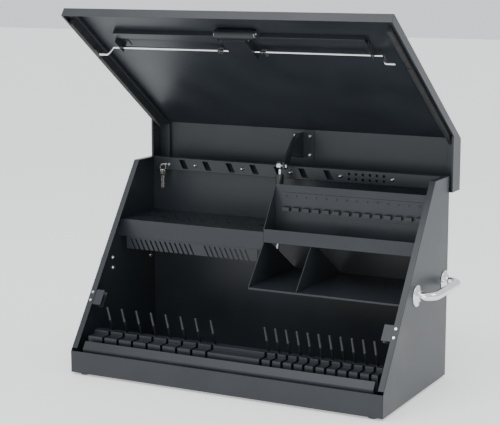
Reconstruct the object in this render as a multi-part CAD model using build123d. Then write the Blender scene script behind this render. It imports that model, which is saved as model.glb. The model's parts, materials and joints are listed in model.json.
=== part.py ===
from build123d import *
import math
import os

# Portable wedge-shaped steel tool box with its lid standing open.
# Frame: +X to the right, +Y to the back, +Z up, origin in the middle of the underside.
# The lid is drawn closed and is then turned open about its hinge.

# ---- body shell ----
WIDTH = 762.0
DEPTH = 370.0
HEIGHT = 453.0
LIP_HEIGHT = 50.0
TOP_DEPTH = 88.0
SHEET = 1.5
RIM_FLANGE = 12.5
LIP_HEM = 10.0
FOOT_HEIGHT = 5.0
FOOT_RADIUS = 12.0
FOOT_SIDE_INSET = 28.0
FOOT_END_INSET = 17.5
FOOT_FLANGE_RADIUS = 15.0
FOOT_FLANGE = 2.0
FOOT_HOLE_GAP = 0.2

# ---- lid ----
LID_SIDE_GAP = 5.0
LID_TOP_GAP = 12.0
LID_SLOPE_GAP = 26.5
LID_OVERHANG = 13.0
LID_SLOPE_FLANGE = 20.0
LID_RETURN = 3.5
LID_OPEN_ANGLE = 90.0
CHANNEL_WIDTH = 27.0
CHANNEL_DEPTH = 9.0
CHANNEL_SHEET = 1.2
SEAL_WIDTH = 9.0
SEAL_GAP = 0.6
RIB_WIDTH = 20.0
RIB_DEPTH = 11.0
RIB_START = 80.0

# ---- hinge ----
HINGE_DROP = 36.4
KNUCKLE_RADIUS = 3.2
HINGE_PIN_RADIUS = 1.6
HINGE_LEAF = 1.2
HINGE_LEAF_WIDTH = 26.0
HINGE_END_GAP = 8.5
KNUCKLE_COUNT = 15
TURN_GAP = 0.4
PIN_FIT = 0.05

# ---- rack along the top of the back wall ----
RAIL_HEIGHT = 30.0
RAIL_STANDOFF = 16.0
RAIL_STUD_PITCH = 127.0
RAIL_STUD_RADIUS = 2.5
RAIL_SLOT_WIDTH = 15.0
RAIL_SLOT_HEIGHT = 21.0
RAIL_SLOT_LEAN = 11.0
RAIL_HOLE_RADIUS = 3.0
RAIL_HOLE_PITCH = 17.0

# ---- left shelf and its comb ----
PARTITION_X = 3.0
SHELF_DROP = 131.0
SHELF_FRONT_Y = 22.0
SHELF_FLANGE = 41.0
COMB_HEIGHT = 29.0
COMB_LAP = 16.0
COMB_PITCH = 13.2
COMB_SLOT = 4.0
COMB_LEAN = 12.0
STRUT_NOTCH = 45.0
STRUT_NOTCH_Y = 80.0

# ---- right tray and the bins under it ----
TRAY_DROP = 155.0
TRAY_LIP = 31.0
TRAY_DEPTH = 62.0
TRAY_BACK_HEIGHT = 125.0
LOOP_PITCH = 24.6
TOOL_RAIL_INSET = 16.0
TOOL_RAIL_GAP = 0.1
BIN_DROP = 243.0
BIN_REACH = 75.0
BIN_GUSSET_TOP = 26.0
BIN_FLANGE = 18.0
DIVIDER_X = 120.0

# ---- wrench rack on the floor ----
RACK_STRIP_WIDTH = 19.0
RACK_STRIP_DEPTH = 5.0
RACK_STRIP_START = 10.0
RACK_END_GAP = 24.5
RACK_LOW_TREAD = 80.5
RACK_HIGH_TREAD = 89.0
RACK_FRONT_Y = 33.0
RACK_STEP = 26.0
RACK_TREAD = 22.0
RACK_SLOT = 6.0
PEG_RADIUS = 2.5
PEG_LENGTH = 62.0
PEG_LEAN = 20.0
LEFT_PEG_PITCH = 38.1
LEFT_PEG_INNER_X = -48.0
RIGHT_PEG_PITCH = 25.4
PEG_END_GAP = 10.0
RIGHT_PEG_INNER_X = 84.0

# ---- side handles ----
HANDLE_TUBE_RADIUS = 9.5
HANDLE_REACH = 37.0
HANDLE_SPAN = 170.0
HANDLE_DROP = 232.0
HANDLE_MID_Y = 80.0
HANDLE_BEND = 28.0
ROSETTE_RADIUS = 23.5
ROSETTE_THICKNESS = 4.0
HANDLE_BOLT_SPREAD = 12.0
HANDLE_WASHER_RADIUS = 6.0
HANDLE_BOLT_GAP = 1.0

# ---- latch, rods and catches ----
CATCH_SCREW_SPREAD = 10.0
CATCH_SCREW_HEAD = 1.6
CATCH_SCREW_RADIUS = 3.0
ROD_RADIUS = 3.0
ROD_STATION = 135.0
ROD_DEPTH = 14.0
ROD_END_DEPTH = 33.0
ROD_INNER_X = 24.0
ROD_BEND_INSET = 56.0
ROD_END_INSET = 26.0
ROD_TRAVEL = 14.0
ROD_HOLE_GAP = 0.4
GUIDE_INSET = 79.0
GUIDE_THICKNESS = 2.0
CATCH_REACH = 34.0
CATCH_LENGTH = 37.0
CATCH_DEPTH = 16.0
CATCH_OFFSET = 14.0
HOUSING_HALF = 29.0
HOUSING_START = 86.0
HOUSING_END = 160.0
HOUSING_DEPTH = 20.0
HOUSING_WALL = 2.0
HOUSING_RIM = 8.0
BARREL_RADIUS = 11.0
BARREL_STATION = 70.0
BARREL_LEFT_X = -36.0
BARREL_RIGHT_X = 56.0
PADDLE_PIN_RADIUS = 2.5
PADDLE_PIN_STATION = 95.0
PADDLE_PIN_DEPTH = 9.0
PADDLE_THICKNESS = 3.0
PADDLE_END = 142.0
PADDLE_GAP = 0.6
PLUG_RADIUS = 7.0
PLUG_STATION = 122.0
PLUG_LENGTH = 12.0
CLIP_LENGTH = 15.0

# ---- gas strut and its arm ----
STRUT_X = -12.0
STRUT_TUBE_RADIUS = 9.0
STRUT_WALL = 1.2
STRUT_ROD_RADIUS = 4.0
STRUT_TUBE_LENGTH = 110.0
STRUT_NECK = 20.0
STRUT_EYE_RADIUS = 9.0
STRUT_EYE_WIDTH = 10.0
STRUT_GUIDE = 10.0
STRUT_CAP = 4.0
PISTON_HEIGHT = 3.0
PIVOT_RADIUS = 4.0
STRUT_TOP_FORWARD = 51.2
STRUT_TOP_RISE = 40.4
STRUT_FOOT_Y = 122.0
STRUT_FOOT_DROP = 228.0
ARM_THICKNESS = 5.0

# ---- keys ----
KEY_HOOK_INSET = 43.0
KEY_HOOK_DROP = 16.5
KEY_HOOK_RADIUS = 1.2
RING_RADIUS = 8.0
RING_WIRE = 0.8
KEY_SPREAD = 2.2

# ---- values worked out from the sizes above ----
HALF = WIDTH / 2
INSIDE = HALF - SHEET
FLOOR_Z = 0.0
FRONT_Y = -DEPTH / 2
BACK_Y = DEPTH / 2
WALL_Y = BACK_Y - SHEET
SHOULDER_Y = BACK_Y - TOP_DEPTH
TOP_Z = FLOOR_Z + HEIGHT
LIP_Z = FLOOR_Z + LIP_HEIGHT
SLOPE_RISE = TOP_Z - LIP_Z
SLOPE_RUN = DEPTH - TOP_DEPTH
SLOPE_LENGTH = math.hypot(SLOPE_RUN, SLOPE_RISE)
SLOPE_COS = SLOPE_RUN / SLOPE_LENGTH
SLOPE_SIN = SLOPE_RISE / SLOPE_LENGTH
LID_HALF = HALF + LID_SIDE_GAP + SHEET
LID_INSIDE = LID_HALF - SHEET
HINGE_Y = BACK_Y + KNUCKLE_RADIUS
HINGE_Z = TOP_Z - HINGE_DROP
LID_BACK_Y = HINGE_Y + SHEET - 0.2
LID_TOP_Z = TOP_Z + LID_TOP_GAP
RAIL_Y = WALL_Y - RAIL_STANDOFF
SHELF_Z = TOP_Z - SHELF_DROP
TRAY_Z = TOP_Z - TRAY_DROP
TRAY_BACK_Y = SHELF_FRONT_Y + TRAY_DEPTH
BIN_Z = TOP_Z - BIN_DROP
TRAY_END_X = INSIDE - RIM_FLANGE - SHEET
RACK_HALF_LENGTH = INSIDE - RACK_END_GAP
HINGE_LENGTH = 2 * (HALF - HINGE_END_GAP)
HANDLE_Z = TOP_Z - HANDLE_DROP
ROD_BEND_X = HALF - ROD_BEND_INSET
ROD_END_X = HALF - ROD_END_INSET
GUIDE_X = HALF - GUIDE_INSET
BARREL_DEPTH = SHEET + BARREL_RADIUS
KEY_HOOK_X = KEY_HOOK_INSET - HALF
STRUT_FOOT = (STRUT_FOOT_Y, TOP_Z - STRUT_FOOT_DROP)
STRUT_TOP = (HINGE_Y - STRUT_TOP_FORWARD, HINGE_Z + STRUT_TOP_RISE)
HINGE_AXIS = Axis((0, HINGE_Y, HINGE_Z), (1, 0, 0))


# ---- helpers ----
def on_slope(along, depth):
    """Point (y, z) along the slope from the front lip, and depth below its plane."""
    y = FRONT_Y + along * SLOPE_COS + depth * SLOPE_SIN
    z = LIP_Z + along * SLOPE_SIN - depth * SLOPE_COS
    return (y, z)


def shoulder(top_depth, slope_depth):
    """Point where a line below the top meets a line below the slope."""
    along = (SLOPE_RISE - top_depth + slope_depth * SLOPE_COS) / SLOPE_SIN
    return on_slope(along, slope_depth)


def on_lid(station, depth):
    """Point (y, z) on the closed lid: distance from its front edge, depth under its skin."""
    return on_slope(station - LID_OVERHANG, depth - LID_SLOPE_GAP)


def lid_knee(depth):
    """Inner corner of the lid at a depth under its skin, flat top to slope."""
    return shoulder(depth - LID_TOP_GAP, depth - LID_SLOPE_GAP)


def prism(points, x0, x1):
    """Outline in the YZ plane, drawn out along X."""
    face = Plane.YZ.offset(x0) * Polygon(*points, align=None)
    return extrude(face, amount=x1 - x0, dir=(1, 0, 0))


def block(x0, x1, y0, y1, z0, z1):
    centre = Pos((x0 + x1) / 2, (y0 + y1) / 2, (z0 + z1) / 2)
    return centre * Box(x1 - x0, y1 - y0, z1 - z0)


def lid_block(x0, x1, station0, station1, depth0, depth1):
    corners = [(station0, depth0), (station1, depth0), (station1, depth1), (station0, depth1)]
    return prism([on_lid(s, d) for s, d in corners], x0, x1)


def rod_x(x0, x1, y, z, radius):
    return Pos((x0 + x1) / 2, y, z) * Rot(0, 90, 0) * Cylinder(radius, x1 - x0)


def rod_y(x, y0, y1, z, radius):
    return Pos(x, (y0 + y1) / 2, z) * Rot(90, 0, 0) * Cylinder(radius, y1 - y0)


def rod_z(x, y, z0, z1, radius):
    return Pos(x, y, (z0 + z1) / 2) * Cylinder(radius, z1 - z0)


def rod_between(start, end, radius):
    """Round bar between two points."""
    reach = Vector(*end) - Vector(*start)
    base = Plane(origin=start, z_dir=reach)
    return base * Cylinder(radius, reach.length, align=(Align.CENTER, Align.CENTER, Align.MIN))


def slope_disc(x, point, thickness, radius, outward=True):
    """Round piece square to the slope, standing out of or into it."""
    sign = -1 if outward else 1
    base = Plane(origin=(x, *point), x_dir=(1, 0, 0), z_dir=(0, sign * SLOPE_SIN, -sign * SLOPE_COS))
    return base * Cylinder(radius, thickness, align=(Align.CENTER, Align.CENTER, Align.MIN))


def opened(shape):
    """Turn a piece of the closed lid to the open position."""
    return shape.rotate(HINGE_AXIS, -LID_OPEN_ANGLE)


def joined(pieces):
    total = pieces[0]
    for piece in pieces[1:]:
        total = total + piece
    return total


def save(name, shape):
    """Write one sub-part."""
    solids = shape.solids()
    part = solids[0] if len(solids) == 1 else Compound(children=list(solids))
    export_step(part, "parts/" + name + ".step")


def mirrored(shape):
    return shape.mirror(Plane.YZ)


# ---- body shell ----
def foot_places():
    """Places (x, y) of the four feet."""
    x = HALF - FOOT_SIDE_INSET
    y = BACK_Y - FOOT_END_INSET
    return [(-x, -y), (x, -y), (-x, y), (x, y)]


def body_wrap():
    """Floor, front lip and back wall, bent from one sheet, with a hem on the lip."""
    outline = [
        (FRONT_Y, LIP_Z),
        (FRONT_Y, FLOOR_Z),
        (BACK_Y, FLOOR_Z),
        (BACK_Y, TOP_Z),
        (WALL_Y, TOP_Z),
        (WALL_Y, FLOOR_Z + SHEET),
        (FRONT_Y + SHEET, FLOOR_Z + SHEET),
        (FRONT_Y + SHEET, LIP_Z - LIP_HEM),
        (FRONT_Y + 2 * SHEET, LIP_Z - LIP_HEM),
        (FRONT_Y + 2 * SHEET, LIP_Z),
    ]
    wrap = prism(outline, -INSIDE, INSIDE)
    for x, y in foot_places():
        wrap = wrap - rod_z(x, y, FLOOR_Z - 1, FLOOR_Z + SHEET + 1, FOOT_RADIUS + FOOT_HOLE_GAP)
    return wrap


def side_panel():
    """Right side wall with the rim flange turned in along its slope and top."""
    wall = prism(
        [(FRONT_Y, FLOOR_Z), (BACK_Y, FLOOR_Z), (BACK_Y, TOP_Z), (SHOULDER_Y, TOP_Z), (FRONT_Y, LIP_Z)],
        INSIDE,
        HALF,
    )
    start = (3 * SHEET) / SLOPE_COS
    rim = prism(
        [
            on_slope(start, 0),
            (SHOULDER_Y, TOP_Z),
            (WALL_Y, TOP_Z),
            (WALL_Y, TOP_Z - SHEET),
            shoulder(SHEET, SHEET),
            on_slope(start, SHEET),
        ],
        INSIDE - RIM_FLANGE,
        INSIDE,
    )
    return wall + rim


def feet():
    """Rubber feet that stand through holes in the floor, each on a flange inside."""
    pieces = []
    face = FLOOR_Z + SHEET
    for x, y in foot_places():
        pieces.append(rod_z(x, y, FLOOR_Z - FOOT_HEIGHT, face, FOOT_RADIUS))
        pieces.append(rod_z(x, y, face, face + FOOT_FLANGE, FOOT_FLANGE_RADIUS))
    return joined(pieces)


# ---- rack along the back wall ----
def rail_slot(x):
    """Leaning slot through the front of the back rack."""
    middle = TOP_Z - RAIL_HEIGHT / 2
    low = middle - RAIL_SLOT_HEIGHT / 2
    high = middle + RAIL_SLOT_HEIGHT / 2
    half = RAIL_SLOT_WIDTH / 2
    lean = RAIL_SLOT_LEAN / 2
    corners = [
        (x - half - lean, high),
        (x + half - lean, high),
        (x + half + lean, low),
        (x - half + lean, low),
    ]
    face = Plane.XZ.offset(-RAIL_Y - 2 * SHEET) * Polygon(*corners, align=None)
    return extrude(face, amount=4 * SHEET, dir=(0, -1, 0))


def stud_places():
    count = int(INSIDE / RAIL_STUD_PITCH)
    return [RAIL_STUD_PITCH * k for k in range(-count, count + 1)]


def back_rail():
    """Bent rack with leaning slots for pliers and small holes at its right end."""
    low = TOP_Z - RAIL_HEIGHT
    outline = [
        (WALL_Y, TOP_Z),
        (RAIL_Y, TOP_Z),
        (RAIL_Y, low),
        (RAIL_Y + 4 * SHEET, low),
        (RAIL_Y + 4 * SHEET, low + SHEET),
        (RAIL_Y + SHEET, low + SHEET),
        (RAIL_Y + SHEET, TOP_Z - SHEET),
        (WALL_Y, TOP_Z - SHEET),
    ]
    end = INSIDE - RIM_FLANGE - 1
    rail = prism(outline, -end, end)
    last_stud = stud_places()[-2]
    for x in stud_places():
        if x <= last_stud:
            rail = rail - rail_slot(x - RAIL_STUD_PITCH / 4)
        if x < last_stud:
            rail = rail - rail_slot(x + RAIL_STUD_PITCH / 4)
    for row in range(2):
        for k in range(6):
            x = last_stud + 20 + RAIL_HOLE_PITCH * k
            z = low + 9 + 12 * row
            rail = rail - rod_y(x, RAIL_Y - SHEET, RAIL_Y + 3 * SHEET, z, RAIL_HOLE_RADIUS)
    for x in stud_places():
        rail = rail - rod_y(x, RAIL_Y - SHEET, RAIL_Y + 3 * SHEET, TOP_Z - RAIL_HEIGHT / 2, RAIL_STUD_RADIUS)
    return rail


def rail_studs():
    """Welded studs that hold the back rack, each with its domed nut."""
    pieces = []
    z = TOP_Z - RAIL_HEIGHT / 2
    for x in stud_places():
        stud = rod_y(x, RAIL_Y - 4, WALL_Y, z, RAIL_STUD_RADIUS - 0.05)
        nut = Plane(origin=(x, RAIL_Y, z), z_dir=(0, -1, 0)) * extrude(RegularPolygon(4.5, 6), amount=3.5)
        dome = Pos(x, RAIL_Y - 3.5, z) * Sphere(3.6)
        pieces.append(stud + nut + dome)
    return joined(pieces)


# ---- left shelf ----
def shelf():
    """Screwdriver shelf with three rows of holes, cut away for the gas strut."""
    plate = block(-INSIDE, PARTITION_X, SHELF_FRONT_Y, WALL_Y, SHELF_Z - SHEET, SHELF_Z)
    apron = block(-INSIDE, PARTITION_X, SHELF_FRONT_Y, SHELF_FRONT_Y + SHEET, SHELF_Z - SHELF_FLANGE, SHELF_Z)
    notch = block(PARTITION_X - STRUT_NOTCH, PARTITION_X + 1, STRUT_NOTCH_Y, BACK_Y, SHELF_Z - 5, SHELF_Z + 5)
    body = plate + apron - notch
    rows = [(36.0, 27.5, 3.5, 24.0), (72.0, 35.4, 7.0, 46.0), (104.0, 34.0, 5.0, 30.0)]
    for row_y, pitch, radius, inset in rows:
        x = -INSIDE + inset
        limit = PARTITION_X - (STRUT_NOTCH if SHELF_FRONT_Y + row_y + radius > STRUT_NOTCH_Y else 0)
        while x + 2 * radius < limit:
            body = body - rod_z(x, SHELF_FRONT_Y + row_y, SHELF_Z - 5, SHELF_Z + 5, radius)
            x = x + pitch
    return body


def comb():
    """Strip of leaning fingers that hangs behind the shelf's front edge."""
    high = SHELF_Z - SHELF_FLANGE + COMB_LAP
    low = SHELF_Z - SHELF_FLANGE - COMB_HEIGHT
    y = SHELF_FRONT_Y + SHEET
    left = -INSIDE + 20
    right = PARTITION_X - 16
    strip = block(left, right, y, y + SHEET, low, high)
    slot_top = SHELF_Z - SHELF_FLANGE - 5
    gap_start = left + 10 + 12 * COMB_PITCH
    x = left + 10
    while x + COMB_SLOT + COMB_LEAN + 6 < right:
        if not gap_start <= x < gap_start + 2 * COMB_PITCH:
            corners = [
                (x, slot_top),
                (x + COMB_SLOT, slot_top),
                (x + COMB_SLOT + COMB_LEAN, low - 1),
                (x + COMB_LEAN, low - 1),
            ]
            face = Plane.XZ.offset(-y - 2 * SHEET) * Polygon(*corners, align=None)
            strip = strip - extrude(face, amount=4 * SHEET, dir=(0, -1, 0))
        x = x + COMB_PITCH
    return strip


# ---- right tray and bins ----
def tray():
    """Open tray whose ends follow the slope of the box."""
    lip_top = TRAY_Z + TRAY_LIP
    back_top = TRAY_Z + TRAY_BACK_HEIGHT
    back = TRAY_BACK_Y
    floor = block(PARTITION_X, INSIDE, SHELF_FRONT_Y, back, TRAY_Z, TRAY_Z + SHEET)
    front = block(PARTITION_X, INSIDE, SHELF_FRONT_Y, SHELF_FRONT_Y + SHEET, TRAY_Z, lip_top)
    wall = block(PARTITION_X, INSIDE, back - SHEET, back, TRAY_Z, back_top)
    end = [(SHELF_FRONT_Y, TRAY_Z), (SHELF_FRONT_Y, lip_top), (back, back_top), (back, TRAY_Z)]
    left = prism(end, PARTITION_X, PARTITION_X + SHEET)
    right = prism(end, TRAY_END_X, TRAY_END_X + SHEET)
    return floor + front + wall + left + right


def tool_rail():
    """Strip on the tray's back wall with a row of holes and a row of loops for bits."""
    y = TRAY_BACK_Y - SHEET
    face = y - SHEET
    right = TRAY_END_X - TOOL_RAIL_GAP
    loop_count = int((right - PARTITION_X - TOOL_RAIL_INSET) / LOOP_PITCH)
    left = right - loop_count * LOOP_PITCH
    loop_z = TRAY_Z + 66
    strip = block(left, right, face, y, loop_z - 8, TRAY_Z + 108)
    for k in range(loop_count):
        x = left + LOOP_PITCH * (k + 0.5)
        strip = strip - rod_y(x, face - 1, y + 1, TRAY_Z + 100, 2.2)
        loop = block(x - 8.5, x + 8.5, face - 9, face, loop_z, loop_z + 9)
        loop = loop - block(x - 7, x + 7, face - 7.5, face, loop_z - 1, loop_z + 10)
        strip = strip + loop
    return strip


def gusset_outline():
    """Side of a bin: its front edge follows the slope, its top runs down to the back."""
    return [
        (SHELF_FRONT_Y - BIN_REACH, BIN_Z),
        (SHELF_FRONT_Y, TRAY_Z),
        (SHELF_FRONT_Y + BIN_GUSSET_TOP, TRAY_Z),
        (WALL_Y, BIN_Z + 2),
        (WALL_Y, BIN_Z),
    ]


def bin_side():
    return prism(gusset_outline(), PARTITION_X, PARTITION_X + SHEET)


def bin_divider():
    return prism(gusset_outline(), DIVIDER_X - SHEET / 2, DIVIDER_X + SHEET / 2)


def bin_floor():
    """Bottom of both bins, with a flange at the back and a turned front edge."""
    front = SHELF_FRONT_Y - BIN_REACH
    plate = block(PARTITION_X, INSIDE, front, WALL_Y, BIN_Z - SHEET, BIN_Z)
    flange = block(PARTITION_X, INSIDE, WALL_Y - SHEET, WALL_Y, BIN_Z - BIN_FLANGE, BIN_Z)
    edge = block(PARTITION_X, INSIDE, front, front + SHEET, BIN_Z - 3 * SHEET, BIN_Z)
    body = plate + flange + edge
    for y, z in handle_bolt_places():
        notch = HANDLE_WASHER_RADIUS + HANDLE_BOLT_GAP
        body = body - block(INSIDE - 7, INSIDE + 1, y - notch, y + notch, z - notch, z + notch)
    return body


def bin_screws():
    z = BIN_Z - BIN_FLANGE / 2 - 1
    face = WALL_Y - SHEET
    places = [DIVIDER_X + 3, INSIDE - 40]
    head = Cone(4.5, 3, 2.5, align=(Align.CENTER, Align.CENTER, Align.MIN))
    return joined([Plane(origin=(x, face, z), z_dir=(0, -1, 0)) * head for x in places])


# ---- wrench rack ----
def rack_strip():
    """Sloping front strip of the wrench rack, on a foot behind the lip."""
    low = on_slope(RACK_STRIP_START, RACK_STRIP_DEPTH)
    high = on_slope(RACK_STRIP_START + RACK_STRIP_WIDTH, RACK_STRIP_DEPTH)
    high_in = on_slope(RACK_STRIP_START + RACK_STRIP_WIDTH, RACK_STRIP_DEPTH + SHEET)
    low_in = on_slope(RACK_STRIP_START + SHEET, RACK_STRIP_DEPTH + SHEET)
    foot_z = LIP_Z - LIP_HEM - 2
    outline = [
        low,
        high,
        high_in,
        (low[0] + SHEET, low_in[1]),
        (low[0] + SHEET, foot_z - SHEET),
        (FRONT_Y + SHEET, foot_z - SHEET),
        (FRONT_Y + SHEET, foot_z),
        (low[0], foot_z),
    ]
    return prism(outline, -RACK_HALF_LENGTH, RACK_HALF_LENGTH)


def rack_steps():
    """Outline of the stepped plate: two treads, standing on the floor."""
    y1 = FRONT_Y + RACK_FRONT_Y
    y2 = y1 + RACK_STEP
    y3 = y2 + RACK_TREAD
    z1 = FLOOR_Z + RACK_LOW_TREAD
    z2 = FLOOR_Z + RACK_HIGH_TREAD
    floor = FLOOR_Z + SHEET
    return y1, y2, y3, z1, z2, floor


def peg_count(first, pitch):
    """Pegs that fit on the rack from the first one outwards."""
    return 1 + int((RACK_HALF_LENGTH - PEG_END_GAP - first) / pitch)


def left_peg_places():
    count = peg_count(-LEFT_PEG_INNER_X, LEFT_PEG_PITCH)
    return [LEFT_PEG_INNER_X - LEFT_PEG_PITCH * k for k in range(count)]


def right_peg_places():
    count = peg_count(RIGHT_PEG_INNER_X, RIGHT_PEG_PITCH)
    return [RIGHT_PEG_INNER_X + RIGHT_PEG_PITCH * k for k in range(count)]


def wrench_rack():
    """Stepped plate with one slot for each peg."""
    y1, y2, y3, z1, z2, floor = rack_steps()
    outline = [
        (y1, floor),
        (y1, z1),
        (y2, z1),
        (y2, z2),
        (y3, z2),
        (y3, floor),
        (y3 - SHEET, floor),
        (y3 - SHEET, z2 - SHEET),
        (y2 + SHEET, z2 - SHEET),
        (y2 + SHEET, z1 - SHEET),
        (y1 + SHEET, z1 - SHEET),
        (y1 + SHEET, floor),
    ]
    rack = prism(outline, -RACK_HALF_LENGTH, RACK_HALF_LENGTH)
    for x in left_peg_places() + right_peg_places():
        rack = rack - block(x - RACK_SLOT / 2, x + RACK_SLOT / 2, y1 - 1, y2 + 8, z1 - 14, z2 + 1)
    return rack


def peg(x, y, z):
    """Peg standing on a tread and leaning forwards, with its foot cut flat."""
    lean = math.radians(PEG_LEAN)
    top = (x, y - PEG_LENGTH * math.sin(lean), z + PEG_LENGTH * math.cos(lean))
    sink = 4.0
    start = (x, y + sink * math.sin(lean), z - sink * math.cos(lean))
    bar = rod_between(start, top, PEG_RADIUS)
    tip = Pos(*top) * Sphere(PEG_RADIUS)
    return bar + tip - block(x - 5, x + 5, y - 8, y + 8, z - 10, z)


def pegs(places):
    y3 = rack_steps()[2]
    z2 = rack_steps()[4]
    return joined([peg(x, y3 - 7, z2) for x in places])


def rack_screws():
    low = on_slope(RACK_STRIP_START, RACK_STRIP_DEPTH)
    foot_z = LIP_Z - LIP_HEM - 2
    y = (FRONT_Y + SHEET + low[0]) / 2
    places = [-RACK_HALF_LENGTH + 8, RACK_HALF_LENGTH - 8]
    return joined([Pos(x, y, foot_z + 0.9) * Cone(2.6, 1.8, 1.8) for x in places])


# ---- handles ----
def handle():
    """Right carrying handle: a round bar bent to a D, standing on two rosettes."""
    y0 = HANDLE_MID_Y - HANDLE_SPAN / 2
    y1 = HANDLE_MID_Y + HANDLE_SPAN / 2
    foot = HALF + ROSETTE_THICKNESS
    out = HALF + HANDLE_REACH
    corners = [(foot, y0, HANDLE_Z), (out, y0, HANDLE_Z), (out, y1, HANDLE_Z), (foot, y1, HANDLE_Z)]
    path = FilletPolyline(*corners, radius=HANDLE_BEND)
    section = Plane(origin=(foot, y0, HANDLE_Z), z_dir=(1, 0, 0)) * Circle(HANDLE_TUBE_RADIUS)
    return sweep(section, path=path)


def handle_bolt_places():
    """Places (y, z) of the bolts of one handle, two to each foot."""
    places = []
    for y in (HANDLE_MID_Y - HANDLE_SPAN / 2, HANDLE_MID_Y + HANDLE_SPAN / 2):
        places = places + [(y, HANDLE_Z - HANDLE_BOLT_SPREAD), (y, HANDLE_Z + HANDLE_BOLT_SPREAD)]
    return places


def rosettes():
    """Round feet of the right handle against the side wall."""
    pieces = []
    for y in (HANDLE_MID_Y - HANDLE_SPAN / 2, HANDLE_MID_Y + HANDLE_SPAN / 2):
        disc = Pos(HALF, y, HANDLE_Z) * Rot(0, 90, 0)
        disc = disc * Cylinder(ROSETTE_RADIUS, ROSETTE_THICKNESS, align=(Align.CENTER, Align.CENTER, Align.MIN))
        pieces.append(fillet(disc.edges().filter_by(GeomType.CIRCLE).sort_by(Axis.X)[-1], 1.8))
    return joined(pieces)


def handle_bolts():
    """Washers and bolt heads inside the right wall."""
    pieces = []
    for y, z in handle_bolt_places():
        washer = rod_x(INSIDE - 1.2, INSIDE, y, z, HANDLE_WASHER_RADIUS)
        head = Plane(origin=(INSIDE - 1.2, y, z), z_dir=(-1, 0, 0))
        head = head * extrude(RegularPolygon(5.0, 6), amount=3.2)
        pieces.append(washer + head)
    return joined(pieces)


# ---- catches ----
def catch():
    """Keeper under the right rim flange that the rod end slides into."""
    middle = ROD_STATION - LID_OVERHANG + CATCH_OFFSET
    s0 = middle - CATCH_LENGTH / 2
    s1 = middle + CATCH_LENGTH / 2
    outer = [on_slope(s0, SHEET), on_slope(s1, SHEET), on_slope(s1, CATCH_DEPTH), on_slope(s0, CATCH_DEPTH)]
    inner_low = 2 * SHEET
    inner = [
        on_slope(s0 - 1, inner_low),
        on_slope(s1 + 1, inner_low),
        on_slope(s1 + 1, CATCH_DEPTH - SHEET),
        on_slope(s0 - 1, CATCH_DEPTH - SHEET),
    ]
    return prism(outer, INSIDE - CATCH_REACH, INSIDE) - prism(inner, INSIDE - CATCH_REACH - 1, INSIDE - SHEET)


def catch_screws():
    middle = ROD_STATION - LID_OVERHANG + CATCH_OFFSET
    x = INSIDE - RIM_FLANGE / 2
    places = [on_slope(middle - CATCH_SCREW_SPREAD, 0), on_slope(middle + CATCH_SCREW_SPREAD, 0)]
    return joined([slope_disc(x, place, CATCH_SCREW_HEAD, CATCH_SCREW_RADIUS) for place in places])


# ---- hinge ----
def knuckle_spans(first):
    """X spans of every second knuckle, starting with the given one."""
    length = HINGE_LENGTH / KNUCKLE_COUNT
    spans = []
    for k in range(first, KNUCKLE_COUNT, 2):
        x0 = -HINGE_LENGTH / 2 + k * length
        spans.append((x0 + TURN_GAP / 2, x0 + length - TURN_GAP / 2))
    return spans


def hinge_body_leaf():
    """Leaf on the back wall, below the pin."""
    half = HINGE_LENGTH / 2
    clear = KNUCKLE_RADIUS + TURN_GAP
    leaf = block(-half, half, BACK_Y, BACK_Y + HINGE_LEAF, HINGE_Z - HINGE_LEAF_WIDTH, HINGE_Z - clear)
    for x0, x1 in knuckle_spans(0):
        leaf = leaf + block(x0, x1, BACK_Y, BACK_Y + HINGE_LEAF, HINGE_Z - clear - 1, HINGE_Z)
        leaf = leaf + rod_x(x0, x1, HINGE_Y, HINGE_Z, KNUCKLE_RADIUS)
        leaf = leaf - rod_x(x0 - 1, x1 + 1, HINGE_Y, HINGE_Z, HINGE_PIN_RADIUS + PIN_FIT)
    return leaf


def hinge_lid_leaf():
    """Leaf inside the lid's back flange, above the pin when the lid is closed."""
    half = HINGE_LENGTH / 2
    clear = KNUCKLE_RADIUS + TURN_GAP
    outer = LID_BACK_Y - SHEET
    leaf = block(-half, half, outer - HINGE_LEAF, outer, HINGE_Z + clear, HINGE_Z + HINGE_LEAF_WIDTH)
    for x0, x1 in knuckle_spans(1):
        leaf = leaf + block(x0, x1, outer - HINGE_LEAF, outer, HINGE_Z, HINGE_Z + clear + 1)
        leaf = leaf + rod_x(x0, x1, HINGE_Y, HINGE_Z, KNUCKLE_RADIUS)
        leaf = leaf - rod_x(x0 - 1, x1 + 1, HINGE_Y, HINGE_Z, HINGE_PIN_RADIUS + PIN_FIT)
    return leaf


def hinge_pin():
    return rod_x(-HINGE_LENGTH / 2, HINGE_LENGTH / 2, HINGE_Y, HINGE_Z, HINGE_PIN_RADIUS)


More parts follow.
